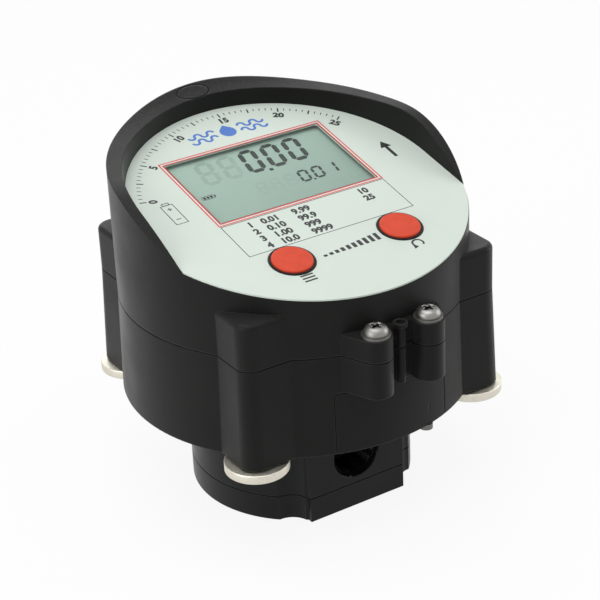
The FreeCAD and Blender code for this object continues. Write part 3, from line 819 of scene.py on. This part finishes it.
class MakeCornerWashers(DressPiece):
    """Model the thick plated washers under the four lobes"""

    bl_idname = "meter.make_corner_washers"
    bl_label = "Corner Washers"

    HOLE_RADIUS = 3.3 * MM

    def make(self):
        low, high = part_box("corner_washers")
        radius = self.radius(high)
        ring = flat_disc(radius / MM, corners=96)
        with editing(ring):
            bpy.ops.mesh.inset(thickness=radius - self.HOLE_RADIUS)
            bpy.ops.mesh.delete(type="FACE")
            bpy.ops.mesh.select_all(action="SELECT")
            extrude(high.z - low.z)
        outward(ring)
        soften(ring, 0.35 * MM, segments=3)
        spots = [Matrix.Translation((sx * (high.x - radius), sy * (high.y - radius), low.z))
                 for sx in (-1, 1) for sy in (-1, 1)]
        washers = joined(copied(ring, spots), "nickel_washers")
        plate = plated("washer_nickel", colours().nickel, (0.40, 0.52), pitch=0.2)
        kept(washers, "meter", plate, ["corner_washers"])

    def radius(self, high):
        """Radius of a washer: half of what the two right-hand ones span along X."""
        points = [v.co for v in frame["nodes"]["corner_washers"].data.vertices]
        inner = min(p.x for p in points if p.x > 0)
        return (high.x - inner) / 2


class DressKeys(DressPiece):
    """Finish the two keys and the dark rings round them"""

    bl_idname = "meter.dress_keys"
    bl_label = "Keys"

    def make(self):
        value = colours().key
        finish = Finish("key_red", specular=0.15).colour(value)
        surface = finish.effect("grain", Size=0.35, Drift=120.0)
        finish.patches(tinted(value, 0.72), surface["Drift"], 0.42, 0.7)
        finish.bump(surface["Height"], 0.006)
        dress(finish.uneven(surface["Drift"], 0.34, 0.46).done(), "function_button", "reset_button")
        bezel = moulded("bezel_black", (0.012, 0.012, 0.012, 1), 0.3 * MM, 0.2 * MM, (0.3, 0.42))
        dress(bezel, "button_bezels")


class DressDisplay(DressPiece):
    """Finish the display and its window, and model its segments"""

    bl_idname = "meter.dress_display"
    bl_label = "Display"

    # lit segments of a figure: top, upper right, lower right, bottom, lower left, upper left, middle
    FIGURES = {"0": "1111110", "1": "0110000", "8": "1111111"}
    # the two rows, in millimetres: foot, pitch, width of a figure and of its segments
    MAIN_ROW = (18.2, 10.2, 7.9, 2.15)
    LOWER_ROW = (4.1, 6.5, 4.8, 1.15)
    # stretches in which painted shade deepens the ground
    SHADE_LEFT_TO_RIGHT = (-36 * MM, 36 * MM)
    SHADE_BACK_TO_FRONT = (34 * MM, -8 * MM)
    INK = {"specular": 0.1, "drift": 90.0, "paler": 1.25, "share": 0.6, "rough": 0.5}

    def segment(self, length, width):
        """Bar with a point at each end."""
        piece = flat_bar(length, width)
        with editing(piece):
            bpy.ops.mesh.bevel(offset=width * 0.49 * MM, segments=1, affect="VERTICES")
        return thicken(piece)

    def figure(self, lit, x, y, width, height, line):
        """One seven-segment figure whose lower left corner is at x, y."""
        flat = 0.94 * (width - line)
        tall = 0.94 * (height - line) / 2
        left, right = line / 2, width - line / 2
        lower, upper = 0.25 * height + line / 4, 0.75 * height - line / 4
        places = ((width / 2, height - line / 2, 0, flat), (right, upper, 90, tall),
                  (right, lower, 90, tall), (width / 2, line / 2, 0, flat), (left, lower, 90, tall),
                  (left, upper, 90, tall), (width / 2, height / 2, 0, flat))
        lean = Matrix.Identity(4)
        lean[0][1] = math.tan(math.radians(7))
        made = []
        for on, (px, py, turn, length) in zip(lit, places):
            if on == "1":
                piece = placed(self.segment(length, line), at(px, py, turn))
                made.append(placed(piece, at(x, y) @ lean))
        return made

    def row(self, text, start, height, layout):
        """Figures side by side, the first of them at start."""
        foot, pitch, width, line = layout
        made = []
        for i, sign in enumerate(text):
            made += self.figure(self.FIGURES[sign], start + pitch * i, foot, width, height, line)
        return made

    def battery(self, x, y):
        """Small outline of a cell with three bars of charge."""
        case = placed(outlined(flat_bar(5.6, 2.5, 0.7), 0.22), at(x, y))
        tip = placed(bar(0.5, 1.2, 0.1), at(x + 3.1, y))
        return [case, tip] + [placed(bar(1.1, 1.5, 0.1), at(x - 1.6 + 1.5 * i, y)) for i in range(3)]

    def make(self):
        big = sizes().digit_height / MM
        small = sizes().small_digit_height / MM
        shown = self.row("000", -5.8, big, self.MAIN_ROW) + self.row("001", 9.7, small, self.LOWER_ROW)
        shown += [placed(bar(1.7, 1.7, 0.3), at(3.2, 17.7)), placed(bar(1.0, 1.0, 0.2), at(15.3, 4.2))]
        shown += self.battery(-29.5, 11.8)
        faint = self.row("88", -26.2, big, self.MAIN_ROW) + self.row("888", -9.8, small, self.LOWER_ROW)
        ground = FACE @ Matrix.Translation((0, 0, face_span("lcd_panel")[1].z))
        backing = self.panel()
        dark = ink("display_ink", colours().digits, **self.INK)
        pale = ink("display_ghost_ink", tinted(colours().display, 0.72), **self.INK)
        pieces = (("display_digits", shown, ground, dark),
                  ("display_ghost_digits", faint, ground, pale),
                  ("display_surround", [self.surround()], FACE, backing))
        for name, made, place, material in pieces:
            kept(placed(joined(made, name), place), "meter", material)
        dress(backing, "lcd_panel")
        dress(self.glass(), "display_window")

    def surround(self):
        """Thin sheet on the window's ledge, so that the display's ground runs on under the label."""
        low, high = face_span("display_window")
        panel_low, panel_high = face_span("lcd_panel")
        overlap = (high.x - low.x - panel_high.x + panel_low.x) / 2 / MM + 0.3
        sheet = rim(low, high, -0.2, overlap)
        return placed(sheet, Matrix.Translation((0, 0, low.z - 0.04 * MM)))

    def panel(self):
        """Grey-green ground with painted shade, a little deeper towards the reader and to the right."""
        value = colours().display
        finish = Finish("lcd_grey_green", specular=0.08).colour(value)
        point = parts_of(finish.tree, object_point(finish.tree))
        across = stretch(finish.tree, point["X"], *self.SHADE_LEFT_TO_RIGHT, 0.0, 0.5)
        down = stretch(finish.tree, point["Y"], *self.SHADE_BACK_TO_FRONT, 0.0, 0.9)
        # painted shade: the ground darkens towards the reader and to the right
        finish.over(tinted(value, 0.70), math_node(finish.tree, "ADD", across, down), 0.8)
        finish.over(tinted(value, 1.12), finish.effect("grain", Drift=50.0)["Drift"], 0.25)
        return finish.rough(0.6).done()

    def glass(self):
        """Clear window with a faint gloss; its roughness drifts as on a wiped pane."""
        finish = Finish("window_clear", specular=0.5)
        finish.shader.inputs["Base Color"].default_value = (0.40, 0.46, 0.43, 1)
        finish.shader.inputs["Alpha"].default_value = 0.08
        return finish.uneven(finish.effect("grain", Drift=70.0)["Drift"], 0.02, 0.06).done()


class DressLabel(DressPiece):
    """Finish the label and model its generic printing"""

    bl_idname = "meter.dress_label"
    bl_label = "Label"

    # all of the print is in millimetres
    SCALE_START, SCALE_END, SCALE_STEPS = 163, 37, 50    # degrees, and the count of its steps
    FINE_TICK, COARSE_TICK, SCALE_FIGURE = 58.6, 58.1, 54.0    # radius to the middle of each
    FIGURE_HEIGHT = 3.2
    ROWS = (("1", "0.01", "9.99", "10"), ("2", "0.10", "99.9", "25"),
            ("3", "1.00", "999"), ("4", "10.0", "9999"))
    COLUMNS = (-27.5, -21.5, -7.5, 23.0)    # left edges
    TABLE_MARGIN = 1.7                      # at each side of the display's opening
    TABLE_TOP, TABLE_FOOT = 2.3, 23.4       # in front of the display's opening
    WINDOW_LEDGE = 3.0                      # width of the window's rim that the label hides
    BORDER_GAPS = (0.75, 2.0)               # from the opening to the two lines round it
    INK = {"specular": 0.4, "drift": 200.0, "paler": 1.5, "share": 0.4, "rough": 0.38}

    def dial(self):
        """Arc of ticks with plain numbers round the back of the label."""
        fine, coarse, figures = [], [], []
        for i in range(self.SCALE_STEPS + 1):
            share = i / self.SCALE_STEPS
            turn = at(0, 0, self.SCALE_START + (self.SCALE_END - self.SCALE_START) * share)
            if i % 5:
                fine.append(turn @ at(self.FINE_TICK, 0))
            else:
                coarse.append(turn @ at(self.COARSE_TICK, 0))
            if i % 10 == 0:
                figure = number(str(i // 2), self.FIGURE_HEIGHT)
                figures.append(placed(figure, turn @ at(self.SCALE_FIGURE, 0, -90)))
        return copied(bar(1.7, 0.36, 0.05), fine) + copied(bar(2.8, 0.6, 0.08), coarse) + figures

    def table(self, low, high):
        """Thin box of plain numbers in front of the display's opening."""
        start = Vector((low.x / MM - self.TABLE_MARGIN, low.y / MM - self.TABLE_FOOT, 0))
        end = Vector((high.x / MM + self.TABLE_MARGIN, low.y / MM - self.TABLE_TOP, 0))
        made = [rim(start * MM, end * MM, 0, 0.3)]
        pitch = (end.y - start.y) / 4.4
        for row, texts in enumerate(self.ROWS):
            y = end.y - pitch * (row + 0.78)
            for x, text in zip(self.COLUMNS, texts):
                made.append(placed(number(text, self.FIGURE_HEIGHT, align="LEFT"), at(x, y)))
        return made

    def key_signs(self, x, y):
        """List sign under the left key, return sign under the right one, rising bars between them."""
        made = [placed(bar(5.5, 0.8, 0.2), at(-x, y - 13.2 + 1.7 * i)) for i in range(3)]
        made.append(placed(open_ring(2.6, 0.8, -0.55), at(x, y - 12.0)))
        made.append(placed(arrow_head(2.8), at(x - 2.1, y - 13.6, 20)))
        for i in range(10):
            made.append(placed(bar(1.6, 1.2 + 0.36 * i, 0.15), at(-11.5 + 2.7 * i, y - 2.9 + 0.18 * i)))
        return made

    def arrow(self, x, y):
        """Arrow up the slope, from the middle of its stem."""
        return [placed(bar(1.5, 8.0, 0.1), at(x, y)), placed(arrow_head(6.0), at(x, y + 5.0))]

    def cell_sign(self, x, y):
        """Outline of a cell with a plus and a minus."""
        return [placed(outlined(flat_bar(5.4, 13.2, 0.2), 0.34), at(x, y)),
                placed(outlined(flat_bar(3.2, 1.6, 0.1), 0.34), at(x, y + 7.2)),
                placed(bar(2.0, 0.4), at(x, y + 3.6)), placed(bar(0.4, 2.0), at(x, y + 3.6)),
                placed(bar(2.0, 0.4), at(x, y - 3.4))]

    def waves(self):
        """Drop between two pairs of wavy lines, above the display."""
        made = [placed(drop(3.5), at(0, 46.2))]
        for side in (-1, 1):
            for row in (-1, 1):
                for i in range(2):
                    for up in (0, 1):
                        arc = open_ring(2.0, 1.1, 0.0)
                        x = side * (7.2 + (2 * i + up) * 2.9)
                        made.append(placed(arc, at(x, 46.4 + 1.9 * row, 180 * up)))
        return made

    def make(self):
        top = FACE @ Matrix.Translation((0, 0, face_span("face_label")[1].z))
        low, high = face_span("display_window")
        ledge = Vector((self.WINDOW_LEDGE * MM, self.WINDOW_LEDGE * MM, 0))
        low, high = low + ledge, high - ledge
        key = middle(*face_span("function_button")).translation / MM
        dark = self.dial() + self.key_signs(abs(key.x), key.y)
        dark += self.arrow(52.0, 4.6) + self.cell_sign(-48.6, 5.0)
        dark += [rim(low, high, 0.25, 0.25)] + self.table(low, high)
        borders = [rim(low, high, gap, sizes().border / MM) for gap in self.BORDER_GAPS]
        inks = (("label_scale_and_table", dark, "print_dark"),
                ("label_display_borders", borders, "print_red"),
                ("label_wave_sign", self.waves(), "print_blue"))
        for name, pieces, tone in inks:
            material = ink(tone, getattr(colours(), tone), **self.INK)
            kept(placed(joined(pieces, name), top), "meter", material)
        dress(self.film(), "face_label")

    def film(self):
        """Printed film: satin, faintly uneven, a little deeper at its edges."""
        value = colours().label
        finish = Finish("label_pale", specular=0.45).colour(value)
        surface = finish.effect("grain", Size=0.14, Drift=28.0)
        finish.patches(tinted(value, 0.93), surface["Drift"], 0.35, 0.75, 0.6)
        finish.over(tinted(value, 0.72), finish.effect("edge", Radius=0.2 * MM)["Edge"], 0.6)
        finish.bump(surface["Height"], 0.003)
        return finish.uneven(surface["Drift"], 0.34, 0.46).done()


class MakeCells(DressPiece):
    """Model the jacketed cells in the battery drawer"""

    bl_idname = "meter.make_cells"
    bl_label = "Cells"

    NUB = 1.0 * MM
    NUB_RADIUS = 2.7 * MM
    BAND = 13.0 * MM      # length of the jacket's copper band
    END = 1.3 * MM        # of the bare metal at each end, the nub counted
    BLEND = 0.1 * MM      # between the colours

    def cell(self, radius, length):
        """Cell standing on its flat end: rounded shoulders and a raised nub."""
        piece = cylinder(radius, 0, length, corners=48)
        with editing(piece):
            pick(piece, lambda c, n: n.z > 0.9)
            bpy.ops.mesh.inset(thickness=radius - self.NUB_RADIUS)
            extrude(self.NUB)
        soften(piece, 0.4 * MM, segments=3)
        return piece

    def make(self):
        low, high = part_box("battery_cells")
        radius = (high.z - low.z) / 2
        model = self.cell(radius, high.y - low.y - self.NUB)
        step = (high.x - low.x - 2 * radius) / 2
        places = []
        for i in range(3):
            forward = i == 1
            turn = math.radians(90 if forward else -90)
            y = high.y if forward else low.y
            spot = Matrix.Translation((low.x + radius + i * step, y, low.z + radius))
            places.append(spot @ Matrix.Rotation(turn, 4, "X"))
        cells = joined(copied(model, places), "jacketed_cells")
        kept(cells, "drawer", self.jacket(low, high), ["battery_cells"])

    def jacket(self, low, high):
        """Dark jacket with a copper band towards the drawer's front, and bare metal ends."""
        finish = Finish("cell_jacket", specular=0.6).colour((0.012, 0.014, 0.018, 1))
        along = parts_of(finish.tree, object_point(finish.tree))["Y"]
        band_end = low.y + self.BAND
        band = stretch(finish.tree, along, band_end, band_end + self.BLEND, 1.0, 0.0)
        finish.over((0.55, 0.24, 0.09, 1), band)
        off = math_node(finish.tree, "SUBTRACT", along, (low.y + high.y) / 2)
        off = math_node(finish.tree, "ABSOLUTE", off, 0.0)
        bare = (high.y - low.y) / 2 - self.END
        ends = stretch(finish.tree, off, bare - self.BLEND, bare, 0.0, 1.0)
        finish.over((0.62, 0.61, 0.58, 1), ends)
        metal = math_node(finish.tree, "MAXIMUM", ends, math_node(finish.tree, "MULTIPLY", band, 0.6))
        finish.tree.links.new(metal, finish.shader.inputs["Metallic"])
        return finish.uneven(finish.effect("grain", Drift=90.0)["Drift"], 0.24, 0.36).done()


class MakeStage(DressPiece):
    """Set the floor, the soft light and the camera"""

    bl_idname = "meter.make_stage"
    bl_label = "Stage"

    FLOOR_SIZE = 30
    FLOOR_GLOW = 0.90                       # share of the floor's own white, the rest takes the shadow
    FILL = 0.30
    AIM = Vector((0, 0, 0.08))              # what the lamps point at
    # name, place, size and power, in metres and watts
    LAMPS = (("top_softbox", (-0.12, -0.02, 0.90), (0.9, 0.7), 4.9),
             ("left_softbox", (-0.85, -0.15, 0.35), (0.5, 0.7), 3.8),
             ("right_softbox", (0.82, -0.25, 0.30), (0.4, 0.6), 2.4),
             ("back_softbox", (0.35, 0.80, 0.50), (0.9, 0.5), 2.0))
    CAMERA_PLACE = Vector((-355.53, -578.39, 422.31)) * MM
    CAMERA_TURN = (-31.771, 27.080, -2.614)    # azimuth, elevation and roll, in degrees
    LENS = 113.853
    SENSOR = 36

    def seen(self, tree):
        """1 for what the camera, a mirror or a pane of glass shows, 0 after a diffuse bounce."""
        path = tree.nodes.new("ShaderNodeLightPath")
        glossy, through = path.outputs["Is Glossy Ray"], path.outputs["Is Transmission Ray"]
        mirrored = math_node(tree, "MAXIMUM", glossy, through)
        shown = math_node(tree, "MAXIMUM", path.outputs["Is Camera Ray"], mirrored)
        direct = math_node(tree, "LESS_THAN", path.outputs["Diffuse Depth"], 0.5)
        return math_node(tree, "MULTIPLY", shown, direct)

    def mixed(self, tree, share, first, second, end):
        """Two shaders, with a share of the second, to the end of the tree."""
        mix = tree.nodes.new("ShaderNodeMixShader")
        for value, socket in zip((share, first.outputs[0], second.outputs[0]), mix.inputs):
            tree.links.new(value, socket)
        tree.links.new(mix.outputs[0], tree.nodes[end].inputs[0])

    def floor(self):
        deselect()
        bpy.ops.mesh.primitive_grid_add(x_subdivisions=8, y_subdivisions=8, size=self.FLOOR_SIZE)
        floor = active()
        floor.name = "studio_floor"
        material = bpy.data.materials.new("studio_floor")
        material.use_nodes = True
        tree = material.node_tree
        shader = tree.nodes["Principled BSDF"]
        shader.inputs["Base Color"].default_value = (0.86, 0.86, 0.86, 1)
        shader.inputs["Roughness"].default_value = 0.9
        glow = node(tree, "ShaderNodeEmission", Strength=1.0)
        share = math_node(tree, "MULTIPLY", self.seen(tree), self.FLOOR_GLOW)
        self.mixed(tree, share, shader, glow, "Material Output")
        floor.data.materials.append(material)

    def world(self):
        world = bpy.data.worlds.new("studio")
        world.use_nodes = True
        tree = world.node_tree
        fill = tree.nodes["Background"]
        fill.inputs["Color"].default_value = (1, 1, 1, 1)
        fill.inputs["Strength"].default_value = self.FILL
        white = node(tree, "ShaderNodeBackground", Strength=1.0)
        white.inputs["Color"].default_value = (1, 1, 1, 1)
        self.mixed(tree, self.seen(tree), fill, white, "World Output")
        bpy.context.scene.world = world

    def lamp(self, name, place, size, power):
        place = Vector(place)
        bpy.ops.object.light_add(type="AREA", location=place)
        lamp = active()
        lamp.name = name
        lamp.data.shape = "RECTANGLE"
        lamp.data.size, lamp.data.size_y = size
        lamp.data.energy = power
        lamp.visible_camera = False
        lamp.rotation_euler = (self.AIM - place).to_track_quat("-Z", "Y").to_euler()

    def camera(self):
        """Camera on the reader's left, above the face."""
        azimuth, elevation, roll = (math.radians(turn) for turn in self.CAMERA_TURN)
        back = Matrix.Rotation(azimuth, 3, "Z") @ Matrix.Rotation(-elevation, 3, "X") @ Vector((0, -1, 0))
        turn = (-back).to_track_quat("-Z", "Y").to_matrix().to_4x4() @ Matrix.Rotation(roll, 4, "Z")
        bpy.ops.object.camera_add()
        camera = active()
        camera.name = "studio_camera"
        camera.matrix_world = Matrix.Translation(self.CAMERA_PLACE) @ turn
        camera.data.sensor_width = self.SENSOR
        camera.data.lens = self.LENS
        bpy.context.scene.camera = camera

    def make(self):
        bpy.context.scene.view_settings.view_transform = "Standard"
        self.floor()
        self.world()
        for lamp in self.LAMPS:
            self.lamp(*lamp)
        self.camera()


class MeterPanel(bpy.types.Panel):
    """Sizes, colours and steps of the flow meter's looks"""

    bl_idname = "VIEW3D_PT_flow_meter"
    bl_label = "Flow Meter"
    bl_space_type = "VIEW_3D"
    bl_region_type = "UI"
    bl_category = "Flow Meter"

    def draw(self, context):
        for settings in (context.scene.meter_sizes, context.scene.meter_colours):
            box = self.layout.box()
            for key in settings.bl_rna.properties.keys():
                if key not in ("rna_type", "name"):
                    box.prop(settings, key)
        for step in STEPS:
            self.layout.operator(step.bl_idname)


STEPS = (MakeEffects, DressHead, DressFlowBody, DressInside, MakeFrontScrews, MakeCornerWashers,
         DressKeys, DressDisplay, DressLabel, MakeCells, MakeStage)
CLASSES = (MeterSizes, MeterColours, *STEPS, MeterPanel)


def register():
    for cls in CLASSES:
        bpy.utils.register_class(cls)
    bpy.types.Scene.meter_sizes = bpy.props.PointerProperty(type=MeterSizes)
    bpy.types.Scene.meter_colours = bpy.props.PointerProperty(type=MeterColours)


def unregister():
    del bpy.types.Scene.meter_colours
    del bpy.types.Scene.meter_sizes
    for cls in reversed(CLASSES):
        bpy.utils.unregister_class(cls)


def main():
    register()
    for step in STEPS:
        category, name = step.bl_idname.split(".")
        getattr(getattr(bpy.ops, category), name)()


if __name__ == "__main__":
    main()
